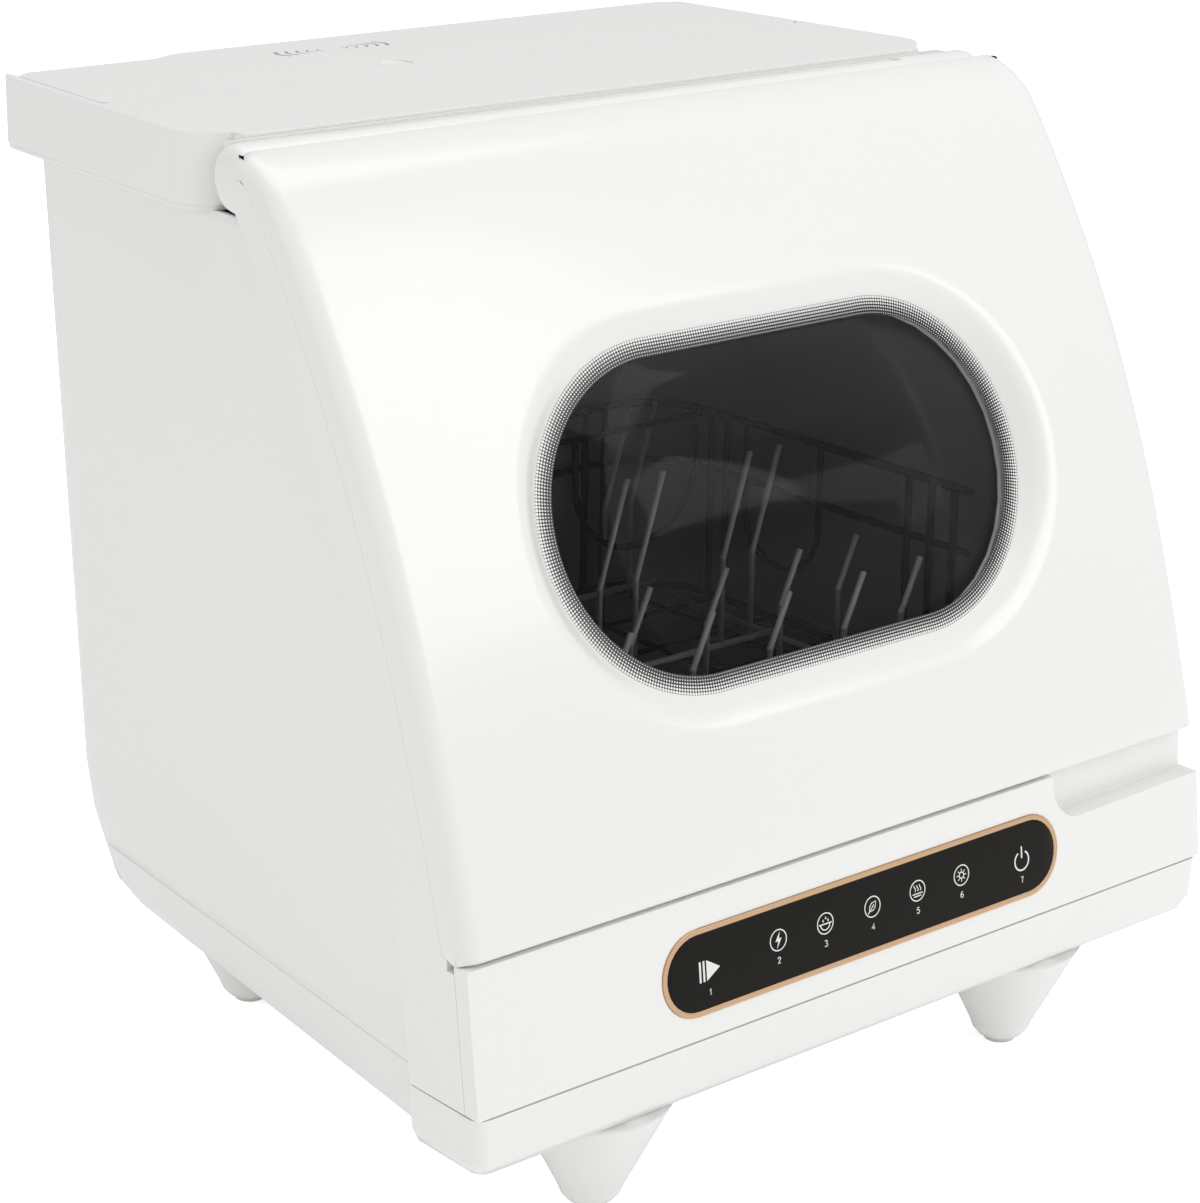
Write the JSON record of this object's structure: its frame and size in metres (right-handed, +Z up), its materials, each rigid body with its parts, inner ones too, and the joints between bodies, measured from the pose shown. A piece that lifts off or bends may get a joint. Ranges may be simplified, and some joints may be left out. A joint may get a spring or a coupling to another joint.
{
  "type": "countertop dishwasher",
  "caption": "Countertop dishwasher: gloss white housing on cone feet, hood door with an oval window, oval touch panel, water tank under a hinged lid, wire basket with plate rack.",
  "frame": {"origin": "Centre of the outer box in plan, on the plane the four feet stand on.", "axes": "+Z up, -Y toward the front where the door and the controls are, +X to the right for someone facing the door seen from behind, that is the side with the finger recess."},
  "size_m": [0.419, 0.357, 0.426],
  "materials": {
    "white_gloss": "gloss",
    "white_satin": "satin",
    "smoked_glass": "gloss",
    "black_print": "satin",
    "black_lens": "gloss",
    "rose_metal": "satin",
    "clear_rubber": "matte",
    "black_rubber": "matte",
    "tub_grey": "satin",
    "arm_grey": "satin",
    "coated_black": "satin",
    "coated_grey": "satin",
    "steel": "satin",
    "dark_plastic": "matte",
    "pale_plastic": "satin",
    "clear_tank": "gloss",
    "float_orange": "matte",
    "board_green": "satin"
  },
  "bodies": {
    "cabinet": {"casing": "white_gloss", "rim_flange": "white_gloss", "top_cover": "white_gloss", "base_pan": "white_gloss", "front_band": "white_gloss", "fascia": "white_gloss", "side_frame_left": "white_gloss", "side_frame_right": "white_gloss", "hinge_beam": "white_gloss", "foot_front_left": "white_gloss", "foot_front_right": "white_gloss", "foot_rear_left": "white_gloss", "foot_rear_right": "white_gloss", "mouth_header": "white_satin", "mouth_sill": "white_satin", "beam_strip": "white_satin", "rear_grille": "white_satin", "control_lens": "black_lens", "control_rim": "rose_metal", "foot_pads": "clear_rubber", "mouth_gasket": "black_rubber", "drain_hose": "black_rubber", "tub": "tub_grey", "sump": "tub_grey", "lower_hub": "arm_grey", "upper_hub": "arm_grey", "feed_pipe": "arm_grey", "hinge_pins": "steel", "lid_pins": "steel", "strike_plates": "steel", "heater": "steel", "grille_screws": "steel", "hinge_dampers": "dark_plastic", "wash_pump": "dark_plastic", "drain_pump": "dark_plastic", "blower": "dark_plastic", "hose_fittings": "dark_plastic", "water_tank": "clear_tank", "main_board": "board_green", "touch_board": "board_green"},
    "door": {"door_shell": "white_gloss", "door_liner": "white_satin", "hinge_arms": "steel", "window_surround": "white_gloss", "window_glass": "smoked_glass", "window_border": "black_print", "window_gasket": "black_rubber", "window_clamp": "white_satin", "door_magnets": "dark_plastic"},
    "tank_lid": {"tank_lid": "white_gloss"},
    "lower_arm": {"lower_spray_arm": "arm_grey"},
    "upper_arm": {"upper_spray_arm": "arm_grey"},
    "basket": {"basket_rails": "coated_black", "basket_wires": "coated_black"},
    "rack": {"plate_rack": "coated_grey", "plate_tines": "coated_grey"},
    "filter": {"filter_cup": "arm_grey"},
    "impeller": {"pump_impeller": "pale_plastic"},
    "fan": {"blower_wheel": "pale_plastic"},
    "float": {"tank_float": "float_orange"}
  },
  "joints": [
    {"name": "door_hinge", "type": "hinge", "parent": "cabinet", "child": "door", "pos_m": [0, -0.014, 0.412], "axis": [-1, 0, 0], "range_deg": [0, 70]},
    {"name": "lid_hinge", "type": "hinge", "parent": "cabinet", "child": "tank_lid", "pos_m": [0, 0.171, 0.4186], "axis": [-1, 0, 0], "range_deg": [0, 95]},
    {"name": "lower_arm_spin", "type": "hinge", "parent": "cabinet", "child": "lower_arm", "pos_m": [-0.04, -0.01, 0.1495], "axis": [0, 0, 1], "continuous": true},
    {"name": "upper_arm_spin", "type": "hinge", "parent": "cabinet", "child": "upper_arm", "pos_m": [0, 0.019, 0.3765], "axis": [0, 0, 1], "continuous": true},
    {"name": "basket_lift", "type": "slide", "parent": "cabinet", "child": "basket", "axis": [0, 0, 1], "range_m": [0, 0.015]},
    {"name": "rack_lift", "type": "slide", "parent": "basket", "child": "rack", "axis": [0, 0, 1], "range_m": [0, 0.02]},
    {"name": "filter_lift", "type": "slide", "parent": "cabinet", "child": "filter", "axis": [0, 0, 1], "range_m": [0, 0.01]},
    {"name": "impeller_spin", "type": "hinge", "parent": "cabinet", "child": "impeller", "pos_m": [0.03, -0.03, 0.1], "axis": [0, 0, 1], "continuous": true},
    {"name": "fan_spin", "type": "hinge", "parent": "cabinet", "child": "fan", "pos_m": [-0.11, 0.06, 0.11], "axis": [0, 0, 1], "continuous": true},
    {"name": "float_rise", "type": "slide", "parent": "cabinet", "child": "float", "axis": [0, 0, 1], "range_m": [0, 0.22]}
  ]
}
